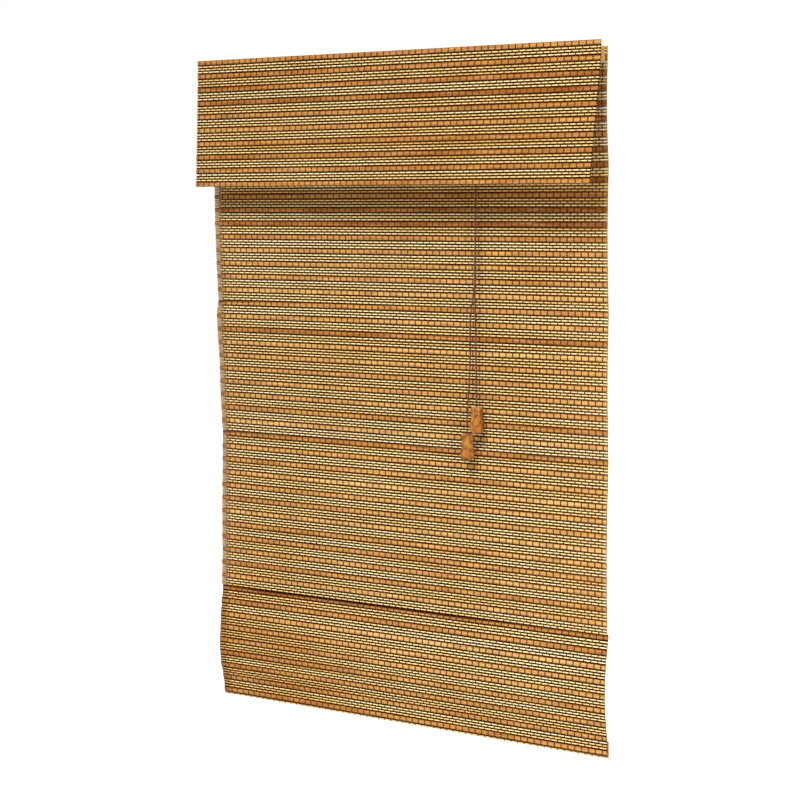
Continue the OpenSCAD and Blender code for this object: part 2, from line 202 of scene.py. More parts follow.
class Weave:
    """The rods of one wall: which are slats, how deep each lies, and its small unevenness."""

    def __init__(self, lead, slats, tail, width, threads, tone, seed):
        kinds = [False] * lead
        for k in range(slats):
            kinds.append(True)
            kinds += [False] * (REEDS_BETWEEN if k < slats - 1 else tail)
        self.slat = np.array(kinds)
        self.high = np.where(self.slat, SLAT_H, REED_D)
        self.thick = np.where(self.slat, SLAT_T, REED_D)
        tops = np.concatenate([[0], np.cumsum(self.high + ROD_GAP)[:-1]])
        self.depth = tops + self.high / 2
        self.full = tops[-1] + self.high[-1]
        self.width = width
        self.threads = threads
        luck = np.random.RandomState(seed)
        n = len(kinds)
        self.fold_shades = {}
        tone_spread = np.where(self.slat, SLAT_TONE_SPREAD, REED_TONE_SPREAD)
        self.tone = luck.normal(tone, tone_spread).clip(*TONE_RANGE)
        left_ends = luck.normal(0, LEFT_END_SPREAD, n)
        self.left_end = left_ends.clip(-2 * LEFT_END_SPREAD, 2 * LEFT_END_SPREAD)
        right_ends = luck.normal(0, RIGHT_END_SPREAD, n)
        self.right_end = right_ends.clip(-2 * RIGHT_END_SPREAD, 2 * RIGHT_END_SPREAD)
        self.wave_size = luck.uniform(*WAVER_SIZE, n)
        self.wave_long = luck.uniform(*WAVER_LENGTH, n)
        self.wave_start = luck.uniform(0, 2 * math.pi, n)

    def brown(self, x, depth, slat):
        """How much a rod's tone is lowered at a place as painted shade; an even wall has none."""
        return np.zeros(np.shape(x))

    def wander(self, rod, x):
        """How far a rod strays from its straight line, up or down, at x."""
        return self.wave_size[rod] * np.sin(
            2 * math.pi * x / self.wave_long[rod] + self.wave_start[rod]
        )


shade = Weave(
    lead=3, slats=48, tail=1, width=MAT_W, threads=(-0.308, 0.3115), tone=0.5, seed=11
)
# The valance's low tone is partly its own darker colour and partly painted shade for its face, tilted
# forward and down from the light above
valance = Weave(
    lead=0, slats=10, tail=0, width=VALANCE_W, threads=(-0.3185, 0.3185), tone=0.28, seed=23
)
# Paler reeds in the valance, the tones of its slats from the top, and its browner reeds below the middle
valance.tone[~valance.slat] += 0.14
valance.tone[valance.slat] = (0.34, 0.30, 0.20, 0.06, 0.30, 0.40, 0.28, 0.22, 0.34, 0.36)
valance.tone[[21, 22, 23, 25, 26, 27]] -= 0.25
valance.tone[[29, 30, 31]] -= 0.12

# The hanging shapes of the two walls, in metres
CREASE_SLATS = (7, 17, 27, 39)
CREASE_PULL = 0.003
PANEL_BULGE = 0.003
HEM_BULGE = 0.008
HEM_TUCK = 0.003
BATTEN_H = 0.021
SWING_LEFT = 0.009
SWING_RIGHT = 0.029
crease_rods = np.flatnonzero(shade.slat)[list(CREASE_SLATS)]
crease_depth = shade.depth[crease_rods]
# Tones of the slats at the lower creases, and the lowest tone for the reeds at the top edge: painted shade
# where the valance shadows the mat's top
shade.tone[crease_rods[1:]] = (0.42, 0.30, 0.30)
shade.tone[:3] = 0.0


def mat_painted_shade(x, depth, slat):
    """Painted shade: the valance's shadow on slats behind and below it and on reeds at its edge, and shade
    at the hem's left end.
    """
    slats_valance_shadow = np.interp(depth, [0.18, 0.225, 0.26], [0.45, 0.42, 0.0])
    reeds_valance_shadow = np.interp(depth, [0.150, 0.165, 0.186, 0.200], [0.0, 0.45, 0.45, 0.0])
    valance_shadow = np.where(slat, slats_valance_shadow, reeds_valance_shadow)
    hem_shade = np.interp(depth, [0.74, 0.76], [0.0, 0.24])
    return valance_shadow + hem_shade * np.interp(x, [-0.25, 0.0], [1.0, 0.1])


shade.brown = mat_painted_shade
# Painted shade under the overhang at each lower crease, along the mat: place, strength and share of the
# slat
FOLD_SHADE_SOFTNESS = 0.25
FOLD_PAINTED_SHADE = (
    [(-0.318, 0.9, 0.40), (-0.240, 0.5, 0.35), (-0.160, 0.0, 0.30)],
    [(-0.318, 0.7, 0.40), (-0.160, 0.3, 0.35), (-0.080, 0.0, 0.30), (0.060, 0.2, 0.30), (0.310, 0.5, 0.40)],
    [(-0.318, 0.9, 0.35), (-0.240, 1.0, 0.55), (0.080, 1.0, 0.50), (0.240, 0.8, 0.30), (0.318, 0.6, 0.25)],
)
shade.fold_shades = dict(zip(crease_rods[1:], FOLD_PAINTED_SHADE))
FREE_TOP = BOARD_H + MAT_TOP + ROD_GAP
FREE_BOTTOM = shade.full - BATTEN_H - ROD_GAP
TUCK_LINE = crease_depth[-1] - (SLAT_H + ROD_GAP) / 2
# Panels of the mat: top, bottom, pull at the top, pull at the bottom and swell
PANELS = [
    (FREE_TOP, crease_depth[0], 0, CREASE_PULL, PANEL_BULGE),
    (crease_depth[0], crease_depth[1], CREASE_PULL, CREASE_PULL, PANEL_BULGE),
    (crease_depth[1], crease_depth[2], CREASE_PULL, CREASE_PULL, PANEL_BULGE),
    (crease_depth[2], TUCK_LINE, CREASE_PULL, CREASE_PULL - HEM_TUCK, PANEL_BULGE),
    (crease_depth[3], FREE_BOTTOM, CREASE_PULL, 0, HEM_BULGE),
]
# Extra slack at the mat's free left edge: depth below the top, and how far it lies behind
SLACK_START = -0.110
SLACK_REACH = 0.2075
SLACK_CURVE = 1.5
LEFT_SLACK = np.array(
    [
        (0.020, 0.0),
        (0.168, -0.003),
        (0.245, -0.001),
        (0.331, 0.0),
        (0.348, -0.004),
        (0.383, -0.0015),
        (0.418, 0.0025),
        (0.505, 0.0025),
        (0.600, 0.0035),
        (0.700, 0.001),
        (0.751, -0.0035),
        (0.803, -0.002),
        (0.838, -0.0045),
        (0.860, -0.0045),
        (0.880, -0.003),
        (0.907, -0.0015),
    ]
)


def shade_hang(x, depth):
    """How far the mat lies behind its top plane."""
    hang = np.where((depth > FREE_TOP) & (depth < FREE_BOTTOM), CREASE_PULL, 0.0)
    for top, bottom, pull_above, pull_below, swell in PANELS:
        t = (depth - top) / (bottom - top)
        bowed = pull_above * (1 - t) + pull_below * t - swell * np.sin(math.pi * t)
        hang = np.where((t >= 0) & (t < 1), bowed, hang)
    share = np.clip((SLACK_START - x) / SLACK_REACH, 0, 1) ** SLACK_CURVE
    return hang + share * np.interp(depth, LEFT_SLACK[:, 0], LEFT_SLACK[:, 1])


def valance_hang(x, depth):
    """How far the valance lies behind its top plane; it swings forward, more at its right end."""
    swing = SWING_LEFT + (SWING_RIGHT - SWING_LEFT) * (x / VALANCE_W + 0.5)
    fixed = VALANCE_TOP + BOARD_H / 2
    return -swing * np.clip(depth - fixed, 0, None) / (valance.full - fixed)


# Cords: the same routes as in the part's source, from the knot at the hem to the tassel
LIFT_X = 0.104
# Depth and height of both cords from the hem up to the screw eye
LIFT_RUN = [
    (0.0306, -0.895),
    (0.0302, -0.885),
    (0.0285, -0.865),
    (0.0265, -0.840),
    (0.0248, -0.800),
    (0.0240, -0.749),
    (0.0240, -0.640),
    (0.0240, -0.523),
    (0.0240, -0.430),
    (0.0240, -0.334),
    (0.0240, -0.240),
    (0.0240, -0.146),
    (0.0235, -0.100),
    (0.0230, -0.060),
    (0.0225, -0.044),
    (0.0210, -0.036),
    (0.0185, -0.031),
    (0.0150, -0.029),
    (0.0110, -0.029),
]
LOCK_Y = 0.0015
# Place along the board and height of both cords over the pulley
LOCK_RUN = [
    (0.110, -0.029),
    (0.118, -0.029),
    (0.1255, -0.029),
    (0.1285, -0.0298),
    (0.1307, -0.032),
    (0.1315, -0.035),
    (0.1315, -0.045),
]
# From the screw eye to the lock, and from the lock down to the tassel
RIGHT_LEAD = [
    (0.104, 0.0070, -0.029),
    (0.1046, 0.0040, -0.029),
    (0.1065, 0.0022, -0.029),
]
RIGHT_FALL = [
    (0.1312, 0.0012, -0.110),
    (0.1309, 0.0008, -0.170),
    (0.1296, 0.0008, -0.237),
    (0.1280, 0.0008, -0.300),
    (0.1288, 0.0012, -0.357),
    (0.1291, 0.0015, -0.400),
    (0.1295, 0.0015, -0.455),
    (0.1295, 0.0015, -0.483),
]
LEFT_LEAD = [
    (-0.104, 0.0040, -0.029),
    (-0.1034, 0.0010, -0.029),
    (-0.1015, -0.0008, -0.029),
    (-0.098, -0.0015, -0.029),
    (-0.080, -0.0015, -0.029),
    (0.000, -0.0015, -0.030),
    (0.090, -0.0015, -0.029),
]
LEFT_FALL = [
    (0.1318, -0.0012, -0.110),
    (0.1320, -0.0008, -0.170),
    (0.1308, -0.0008, -0.237),
    (0.1292, -0.0008, -0.300),
    (0.1252, -0.0012, -0.324),
    (0.1227, -0.0015, -0.344),
    (0.1223, -0.0015, -0.377),
    (0.1205, -0.0015, -0.420),
    (0.1185, -0.0015, -0.444),
    (0.1170, -0.0015, -0.470),
    (0.1165, -0.0015, -0.494),
    (0.1165, -0.0015, -0.519),
]


def cord_route(lift_x, lead, lock_y, fall):
    lift = [(lift_x, y, z) for y, z in LIFT_RUN]
    lock = [(x, lock_y, z) for x, z in LOCK_RUN]
    return lift + lead + lock + fall


RIGHT_ROUTE = cord_route(LIFT_X, RIGHT_LEAD, LOCK_Y, RIGHT_FALL)
LEFT_ROUTE = cord_route(-LIFT_X, LEFT_LEAD, -LOCK_Y, LEFT_FALL)


def cord_line(route):
    """A smooth line through the route's points, one point for each ring of the cord."""
    at_points = np.array(route)
    strides = np.diff(at_points, axis=0)
    span = np.linalg.norm(strides, axis=1)[:, None]
    slope = strides / span
    inner = (slope[:-1] * span[1:] + slope[1:] * span[:-1]) / (span[1:] + span[:-1])
    lean = np.concatenate([slope[:1], inner, slope[-1:]])
    passed = np.concatenate([[0], np.cumsum(span)])
    along = np.linspace(0, passed[-1], int(passed[-1] / CORD_RING))
    i = np.clip(np.searchsorted(passed, along, side="right") - 1, 0, len(span) - 1)
    h = span[i]
    t = (along - passed[i])[:, None] / h
    leaving = (1 + 2 * t) * (1 - t) ** 2 * at_points[i] + t * (1 - t) ** 2 * h * lean[i]
    reaching = t**2 * (3 - 2 * t) * at_points[i + 1] + t**2 * (t - 1) * h * lean[i + 1]
    return leaving + reaching


def line_length(line):
    return float(np.linalg.norm(np.diff(line, axis=0), axis=1).sum())


def poly_curve(name, points, closed):
    line = bpy.data.curves.new(name, "CURVE")
    line.dimensions = "3D"
    spline = line.splines.new("POLY")
    spline.points.add(len(points) - 1)
    spline.points.foreach_set("co", np.insert(points, 3, 1, axis=1).ravel())
    spline.use_cyclic_u = closed
    made = bpy.data.objects.new(name, line)
    scene.collection.objects.link(made)
    return made


def strand_section():
    """The outline of a cord laid up from three strands."""
    turn = np.linspace(0, 2 * math.pi, CORD_SIDES, endpoint=False)
    radius = CORD_D / 2 * (CORD_FULLNESS + CORD_STRAND_DEPTH * np.cos(CORD_STRANDS * turn))
    flat = np.zeros(CORD_SIDES)
    outline = np.stack([radius * np.cos(turn), radius * np.sin(turn), flat], axis=1)
    return poly_curve("strand_section", outline, closed=True)


def twisted_cord(name, line):
    cord = poly_curve(name, line, closed=False)
    twist = 2 * math.pi * np.arange(len(line)) * CORD_RING / CORD_LAY
    cord.data.splines[0].points.foreach_set("tilt", twist)
    section = strand_section()
    cord.data.bevel_mode = "OBJECT"
    cord.data.bevel_object = section
    cord.data.use_fill_caps = True
    select_only(cord)
    bpy.ops.object.convert(target="MESH")
    bpy.data.objects.remove(section)
    smooth_rounds(cord, degrees=70)
    return cord


cords = []
for side, route in (("left", LEFT_ROUTE), ("right", RIGHT_ROUTE)):
    line = cord_line(route)
    cord = twisted_cord(f"twisted_cord_{side}", line)
    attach(cord, "blind")
    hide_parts(f"lift_cord_{side}")
    round(line_length(line), 3)
    cords.append(cord)


# Materials: the aged ends of the mat's rods start and are full at these places
AGED_ALONG = (-0.300, -0.311)
AGED_BEHIND = (-0.002, 0.002)


class Finish:
    """A material with its principled shader, and short calls to add and join nodes."""

    def __init__(self, name, roughness, metallic=0.0, gloss=0.5):
        self.material = bpy.data.materials.new(name)
        self.material.use_nodes = True
        self.tree = self.material.node_tree
        self.shader = self.tree.nodes["Principled BSDF"]
        self.shader.inputs["Roughness"].default_value = roughness
        self.shader.inputs["Metallic"].default_value = metallic
        self.shader.inputs["Specular IOR Level"].default_value = gloss

    def add(self, kind, **settings):
        made = self.tree.nodes.new(kind)
        for key, value in settings.items():
            setattr(made, key, value)
        return made

    def join(self, a, b):
        self.tree.links.new(a, b)

    def stretched(self, scale):
        """Object coordinates, stretched so that a pattern runs along the grain."""
        place = self.add("ShaderNodeTexCoord")
        mapping = self.add("ShaderNodeMapping")
        mapping.inputs["Scale"].default_value = scale
        self.join(place.outputs["Object"], mapping.inputs["Vector"])
        return mapping.outputs["Vector"]

    def noise(self, scale, detail=3.0, rough=0.55):
        spots = self.add("ShaderNodeTexNoise")
        spots.inputs["Scale"].default_value = 1.0
        spots.inputs["Detail"].default_value = detail
        spots.inputs["Roughness"].default_value = rough
        self.join(self.stretched(scale), spots.inputs["Vector"])
        return spots.outputs["Fac"]

    def sum(self, a, b, share):
        """a + (b - 0.5) * share."""
        part = self.add("ShaderNodeMath", operation="MULTIPLY_ADD")
        self.join(b, part.inputs[0])
        part.inputs[1].default_value = share
        part.inputs[2].default_value = -share / 2
        total = self.add("ShaderNodeMath", operation="ADD")
        self.join(a, total.inputs[0])
        self.join(part.outputs[0], total.inputs[1])
        return total.outputs[0]

    def ramp(self, value, stops):
        ramp = self.add("ShaderNodeValToRGB")
        band = ramp.color_ramp
        for element, (at, colour) in zip(band.elements, (stops[0], stops[-1])):
            element.position = at
            element.color = (*colour, 1)
        for at, colour in stops[1:-1]:
            band.elements.new(at).color = (*colour, 1)
        self.join(value, ramp.inputs["Fac"])
        return ramp.outputs["Color"]

    def shaded(self, colour, value, darkest):
        """The colour, made darker where the value is low."""
        streak = self.ramp(value, [(0.3, (darkest,) * 3), (0.65, (1, 1, 1))])
        mix = self.add("ShaderNodeMix", data_type="RGBA", blend_type="MULTIPLY")
        mix.inputs["Factor"].default_value = 1
        self.join(colour, mix.inputs["A"])
        self.join(streak, mix.inputs["B"])
        return mix.outputs["Result"]

    def colour(self, value):
        self.join(value, self.shader.inputs["Base Color"])

    def rough_by(self, value, low, high):
        span = self.add("ShaderNodeMapRange")
        span.inputs["To Min"].default_value = low
        span.inputs["To Max"].default_value = high
        self.join(value, span.inputs["Value"])
        self.join(span.outputs["Result"], self.shader.inputs["Roughness"])

    def bumped(self, value, strength, height):
        bump = self.add("ShaderNodeBump")
        bump.inputs["Strength"].default_value = strength
        bump.inputs["Distance"].default_value = height
        self.join(value, bump.inputs["Height"])
        self.join(bump.outputs["Normal"], self.shader.inputs["Normal"])

    def mark(self, name):
        return self.add("ShaderNodeAttribute", attribute_name=name).outputs["Fac"]

    def mixed(self, colour, other, share):
        """The colour, turned towards the other by the share."""
        mix = self.add("ShaderNodeMix", data_type="RGBA")
        mix.inputs["B"].default_value = (*other, 1)
        self.join(share, mix.inputs["Factor"])
        self.join(colour, mix.inputs["A"])
        return mix.outputs["Result"]

    def span(self, value, start, full, kind="LINEAR"):
        """0 at the start and 1 where the value is full."""
        share = self.add("ShaderNodeMapRange", interpolation_type=kind)
        share.inputs["From Min"].default_value = start
        share.inputs["From Max"].default_value = full
        self.join(value, share.inputs["Value"])
        return share.outputs["Result"]

    def blushed(self, colour, value, blush):
        """The colour, turned towards the blush where the value is high."""
        return self.mixed(colour, blush, self.span(value, 0.5, 0.75))

    def along(self, axis):
        """The place along one axis of the shared frame."""
        place = self.add("ShaderNodeTexCoord")
        axes = self.add("ShaderNodeSeparateXYZ")
        self.join(place.outputs["Object"], axes.inputs["Vector"])
        return axes.outputs[axis]

    def aged_end(self, colour, aged):
        """The colour, gone brown at the left ends of the mat's rods, behind the board's middle plane."""
        share = self.add("ShaderNodeMath", operation="MULTIPLY")
        self.join(self.span(self.along("X"), *AGED_ALONG), share.inputs[0])
        self.join(self.span(self.along("Y"), *AGED_BEHIND), share.inputs[1])
        return self.mixed(colour, aged, share.outputs[0])

    def painted_rim_shade(self, colour, start, full, rim_shade_colour):
        """The colour, darkened towards the rod's upper and lower rim: painted shade where the rod turns
        away into the gaps.
        """
        return self.mixed(colour, rim_shade_colour, self.span(self.mark("rod_rim"), start, full, "SMOOTHSTEP"))


def slat_finish():
    stained = Finish("stained_bamboo_slat", 0.5, gloss=MATT)
    patches = stained.noise((9, 40, 150), 3)
    drifts = stained.noise((3, 1, 7), 2)
    tone = stained.sum(stained.sum(stained.mark("rod_tone_and_shade"), patches, 0.8), drifts, 0.6)
    base = stained.ramp(
        tone,
        [
            (0.0, (0.40, 0.125, 0.020)),
            (0.3, (0.64, 0.280, 0.066)),
            (0.6, (0.84, 0.448, 0.130)),
            (1.0, (0.97, 0.630, 0.232)),
        ],
    )
    base = stained.blushed(base, stained.noise((22, 90, 260), 2), (0.66, 0.320, 0.135))
    base = stained.aged_end(base, (0.42, 0.180, 0.046))
    # Painted shade towards the slat's upper and lower rims
    base = stained.painted_rim_shade(base, 0.68, 0.96, (0.06, 0.018, 0.003))
    # Painted shade under the overhang at the lower creases, near black on the slat's covered upper part
    base = stained.mixed(base, (0.020, 0.006, 0.002), stained.mark("rod_fold_shade"))
    fibres = stained.noise((14, 1100, 1100), 4)
    streaks = stained.noise((30, 420, 700), 4, 0.65)
    stained.colour(stained.shaded(stained.shaded(base, streaks, 0.5), fibres, 0.72))
    stained.rough_by(fibres, 0.6, 0.42)
    stained.bumped(fibres, 0.25, 0.0002)
    return stained.material


def reed_finish():
    pale = Finish("pale_bamboo_reed", 0.5, gloss=MATT)
    patches = pale.noise((11, 60, 400), 3)
    drifts = pale.noise((3, 1, 6), 2)
    tone = pale.sum(pale.sum(pale.mark("rod_tone_and_shade"), patches, 0.8), drifts, 0.9)
    base = pale.ramp(
        tone,
        [
            (0.0, (0.80, 0.470, 0.125)),
            (0.3, (1.00, 0.750, 0.290)),
            (0.6, (1.00, 0.870, 0.430)),
            (1.0, (1.00, 0.940, 0.600)),
        ],
    )
    base = pale.aged_end(base, (0.62, 0.34, 0.10))
    # Painted shade towards the reed's rims: red-brown, then near black beside the gaps
    base = pale.painted_rim_shade(base, 0.46, 0.68, (0.66, 0.270, 0.050))
    base = pale.painted_rim_shade(base, 0.60, 0.84, (0.02, 0.004, 0.001))
    fibres = pale.noise((16, 1500, 1500), 3)
    pale.colour(pale.shaded(base, fibres, 0.8))
    pale.rough_by(fibres, 0.6, 0.4)
    pale.bumped(fibres, 0.2, 0.0001)
    return pale.material


def thread_finish(name, dark, mid, light):
    brown = Finish(name, 0.8, gloss=MATT)
    fuzz = brown.noise((700, 700, 900), 3)
    patches = brown.noise((40, 40, 20), 2)
    tone = brown.sum(fuzz, patches, 0.6)
    brown.colour(brown.ramp(tone, [(0.2, dark), (0.5, mid), (0.8, light)]))
    brown.bumped(fuzz, 0.3, 0.0001)
    return brown.material


def cord_finish():
    braid = Finish("mauve_brown_braid", 0.8, gloss=0.04)
    strands = braid.noise((900, 900, 500), 2)
    braid.colour(
        braid.ramp(
            strands,
            [
                (0.3, (0.050, 0.017, 0.010)),
                (0.5, (0.125, 0.047, 0.028)),
                (0.7, (0.240, 0.105, 0.066)),
            ],
        )
    )
    braid.bumped(strands, 0.4, 0.0002)
    return braid.material


def tassel_finish():
    turned = Finish("turned_tassel_wood", 0.45, gloss=0.15)
    grain = turned.noise((260, 260, 60), 4, 0.6)
    patches = turned.noise((170, 170, 150), 3)
    tone = turned.sum(grain, patches, 1.2)
    turned.colour(
        turned.ramp(
            tone,
            [
                (0.2, (0.110, 0.034, 0.006)),
                (0.5, (0.350, 0.125, 0.018)),
                (0.8, (0.540, 0.240, 0.046)),
            ],
        )
    )
    turned.rough_by(grain, 0.5, 0.32)
    turned.bumped(grain, 0.15, 0.0003)
    return turned.material


def board_finish(name, dark, mid, light):
    plank = Finish(name, 0.62)
    rings = plank.noise((3, 90, 90), 3)
    pores = plank.noise((30, 900, 900), 4)
    tone = plank.sum(rings, pores, 0.5)
    plank.colour(plank.ramp(tone, [(0.25, dark), (0.5, mid), (0.75, light)]))
    plank.rough_by(pores, 0.72, 0.52)
    plank.bumped(pores, 0.2, 0.0003)
    return plank.material


def metal_finish(name, dull, bright, low, high):
    metal = Finish(name, 0.3, metallic=1.0)
    tarnish = metal.noise((160, 160, 160), 4)
    metal.colour(metal.ramp(tarnish, [(0.3, dull), (0.7, bright)]))
    metal.rough_by(tarnish, high, low)
    return metal.material


SLAT_FINISH = slat_finish()
REED_FINISH = reed_finish()
MAT_THREAD_FINISH = thread_finish(
    "dark_warp_thread", (0.050, 0.012, 0.002), (0.115, 0.031, 0.006), (0.210, 0.064, 0.014)
)
VALANCE_THREAD_FINISH = thread_finish(
    "brown_warp_thread", (0.062, 0.014, 0.003), (0.130, 0.034, 0.007), (0.235, 0.072, 0.016)
)
CORD_FINISH = cord_finish()
TASSEL_FINISH = tassel_finish()
BOARD_FINISH = board_finish(
    "pale_board_wood", (0.50, 0.27, 0.06), (0.66, 0.40, 0.10), (0.78, 0.52, 0.17)
)
BATTEN_FINISH = board_finish(
    "stained_batten_wood", (0.26, 0.12, 0.04), (0.41, 0.21, 0.08), (0.54, 0.31, 0.13)
)
BRASS_FINISH = metal_finish(
    "brassed_wire", (0.62, 0.42, 0.16), (0.80, 0.60, 0.28), 0.22, 0.42
)
STEEL_FINISH = metal_finish(
    "zinc_plated_steel", (0.48, 0.49, 0.51), (0.68, 0.69, 0.71), 0.24, 0.45
)


def dress(piece, finish):
    piece.data.materials.clear()
    piece.data.materials.append(finish)


# Woven walls


def spread_rods(piece, weave, rods, top):
    """Sets each copy of a rod in its row, with its own length, tone and slight waver, and marks where
    painted shade falls on it.
    """
    points = points_of(piece)
    each = len(points) // len(rods)
    rod = np.repeat(np.asarray(rods), each)
    x = points[:, 0]
    half = weave.width / 2
    longer = np.where(x < 0, weave.left_end[rod], weave.right_end[rod])
    points[:, 0] = x * (1 + longer / half)
    # Place across the rod, which sets where the painted rim shade falls
    mark_points(piece, "rod_rim", np.abs(points[:, 2]) / (weave.high[rod] / 2))
    # The rod's own tone, lowered where painted shade falls
    mark_points(piece, "rod_tone_and_shade", weave.tone[rod] - weave.brown(x, weave.depth[rod], weave.slat[rod]))
    # Painted shade under the overhang at each lower crease, over the covered upper share of the crease slat
    fold_shade = np.zeros(len(points))
    for crease, places in weave.fold_shades.items():
        at, strength, share = np.transpose(places)
        from_top = 0.5 - points[:, 2] / weave.high[rod]
        covered = np.clip((np.interp(x, at, share) - from_top) / FOLD_SHADE_SOFTNESS + 0.5, 0, 1)
        fold_shade = np.where(rod == crease, np.interp(x, at, strength) * covered, fold_shade)
    mark_points(piece, "rod_fold_shade", fold_shade)
    points[:, 2] += top - weave.depth[rod] + weave.wander(rod, x)
    move_points(piece, points)


def reed_rows(name, weave, top):
    leave_nothing_selected()
    bpy.ops.mesh.primitive_cylinder_add(
        vertices=REED_SIDES, radius=REED_D / 2, depth=weave.width, rotation=(0, math.pi / 2, 0)
    )
    reed = bpy.context.object
    reed.name = name
    bpy.ops.object.transform_apply(location=True, rotation=True, scale=True)
    cut_lengthwise(reed, axis=0, cuts=ROD_CUTS)
    rods = np.flatnonzero(~weave.slat)
    repeat(reed, len(rods))
    spread_rods(reed, weave, rods, top)
    smooth_rounds(reed, degrees=60)
    dress(reed, REED_FINISH)
    return reed


def slat_rows(name, weave, top):
    leave_nothing_selected()
    bpy.ops.mesh.primitive_cube_add(size=1, scale=(weave.width, SLAT_T, SLAT_H))
    slat = bpy.context.object
    slat.name = name
    bpy.ops.object.transform_apply(location=True, rotation=True, scale=True)
    pick_edges(slat, runs_along(0))
    bpy.ops.mesh.bevel(offset=SLAT_BEVEL, segments=2, profile=0.5)
    bpy.ops.object.mode_set(mode="OBJECT")
    cut_lengthwise(slat, axis=2, cuts=SLAT_CUTS)
    cut_lengthwise(slat, axis=0, cuts=ROD_CUTS)
    points = points_of(slat)
    points[:, 1] *= 1 - SLAT_CROWN * (2 * points[:, 2] / SLAT_H) ** 2
    move_points(slat, points)
    rods = np.flatnonzero(weave.slat)
    repeat(slat, len(rods))
    spread_rods(slat, weave, rods, top)
    smooth_rounds(slat, degrees=50)
    dress(slat, SLAT_FINISH)
    return slat


def thread_rows(name, weave, top, first, step, cuts, finish):
    """Every step-th warp thread from the first, each over one rod and under the next."""
    leave_nothing_selected()
    bpy.ops.mesh.primitive_cylinder_add(vertices=4, radius=1, depth=1)
    thread = bpy.context.object
    thread.name = name
    for each_cut in cuts:
        cut_lengthwise(thread, axis=2, cuts=each_cut)
    points = points_of(thread)
    rings = 2 * len(weave.depth)
    ring = np.rint((0.5 - points[:, 2]) * (rings - 1)).astype(int)
    rod = ring // 2
    on_slat = weave.slat[rod]
    half_run = np.where(on_slat, weave.high[rod] / 2 - THREAD_FROM_SLAT_EDGE, THREAD_HALF_RUN_ON_REED)
    wide = np.where(on_slat, THREAD_ON_SLAT, THREAD_ON_REED)
    places = thread_places(weave)[first::step]
    count = len(places)
    repeat(thread, count)
    down = np.tile(np.where(ring % 2 == 0, -1, 1) * half_run, count)
    across = np.tile(points[:, 0] * wide / 2, count)
    out = np.tile(points[:, 1] * THREAD_T / 2, count)
    rod = np.tile(rod, count)
    number = np.repeat(np.arange(count) * step + first, len(points))
    middle = np.repeat(places, len(points))
    side = np.where((rod + number) % 2 == 0, -1, 1)
    x = middle + across
    y = side * (weave.thick[rod] / 2 + THREAD_T * THREAD_LIFT) + out
    z = top - weave.depth[rod] - down + weave.wander(rod, middle)
    move_points(thread, np.stack([x, y, z], axis=1))
    smooth_rounds(thread, degrees=75)
    dress(thread, finish)
    return thread


def thread_places(weave):
    first, last = weave.threads
    count = int(round((last - first) / THREAD_PITCH)) + 1
    return np.linspace(first, last, count)


def hang_wall(piece, top, plane, hang):
    points = points_of(piece)
    points[:, 1] += plane + hang(points[:, 0], top - points[:, 2])
    move_points(piece, points)


shade_pieces = [
    slat_rows("shade_slats", shade, MAT_TOP),
    reed_rows("shade_reeds", shade, MAT_TOP),
    thread_rows("shade_threads_even", shade, MAT_TOP, 0, 2, MAT_THREAD_CUTS, MAT_THREAD_FINISH),
    thread_rows("shade_threads_odd", shade, MAT_TOP, 1, 2, MAT_THREAD_CUTS, MAT_THREAD_FINISH),
]
valance_pieces = [
    slat_rows("valance_slats", valance, VALANCE_TOP),
    reed_rows("valance_reeds", valance, VALANCE_TOP),
    thread_rows(
        "valance_threads", valance, VALANCE_TOP, 0, 1, VALANCE_THREAD_CUTS, VALANCE_THREAD_FINISH
    ),
]
for piece in shade_pieces:
    hang_wall(piece, MAT_TOP, MAT_Y, shade_hang)
    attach(piece, "blind")
    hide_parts("shade_mat")
for piece in valance_pieces:
    hang_wall(piece, VALANCE_TOP, VALANCE_Y, valance_hang)
    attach(piece, "blind")
    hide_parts("valance_mat")

# Finishes of the solid parts
for cord in cords:
    dress(cord, CORD_FINISH)
for name in ("hem_knots", "tassel_knots", "ring_ties"):
    dress(nodes[name], CORD_FINISH)
for name in ("tassel_upper", "tassel_lower"):
    dress(nodes[name], TASSEL_FINISH)
dress(nodes["head_board"], BOARD_FINISH)
dress(nodes["bottom_batten"], BATTEN_FINISH)
for name in nodes:
    if name.startswith(("lift_ring", "screw_eye")) or name in ("guide_pulley", "lock_roller"):
        dress(nodes[name], BRASS_FINISH)
for name in ("lock_frame", "lock_screws", "pulley_pin", "lock_pin", "mat_staples"):
    dress(nodes[name], STEEL_FINISH)


# Stage: floor, white surroundings, the painted shadow seen through the gaps, and light
FLOOR_SIZE = 14
FLOOR_Z = -1.5
FLOOR_GLOW = 0.5
AMBIENT_LIGHT = 0.16
BACKDROP_LIGHT = 1.0
SHADOW_PANEL_ACROSS = 24
SHADOW_PANEL_DOWN = 240
SHADOW_PANEL_BEHIND = 0.0006


def pale_floor():
    leave_nothing_selected()
    bpy.ops.mesh.primitive_plane_add(size=FLOOR_SIZE, location=(0, 0, FLOOR_Z))
    floor = bpy.context.object
    floor.name = "pale_floor"
    paint = Finish("pale_floor_paint", 0.9)
    paint.shader.inputs["Base Color"].default_value = (0.8, 0.8, 0.8, 1)
    glow = paint.add("ShaderNodeEmission")
    glow.inputs["Color"].default_value = (1, 1, 1, 1)
    seen = paint.add("ShaderNodeLightPath")
    share = paint.add("ShaderNodeMath", operation="MULTIPLY")
    share.inputs[1].default_value = FLOOR_GLOW
    paint.join(seen.outputs["Is Camera Ray"], share.inputs[0])
    paint.join(share.outputs[0], glow.inputs["Strength"])
    both = paint.add("ShaderNodeAddShader")
    paint.join(paint.shader.outputs[0], both.inputs[0])
    paint.join(glow.outputs[0], both.inputs[1])
    paint.join(both.outputs[0], paint.tree.nodes["Material Output"].inputs["Surface"])
    floor.data.materials.append(paint.material)


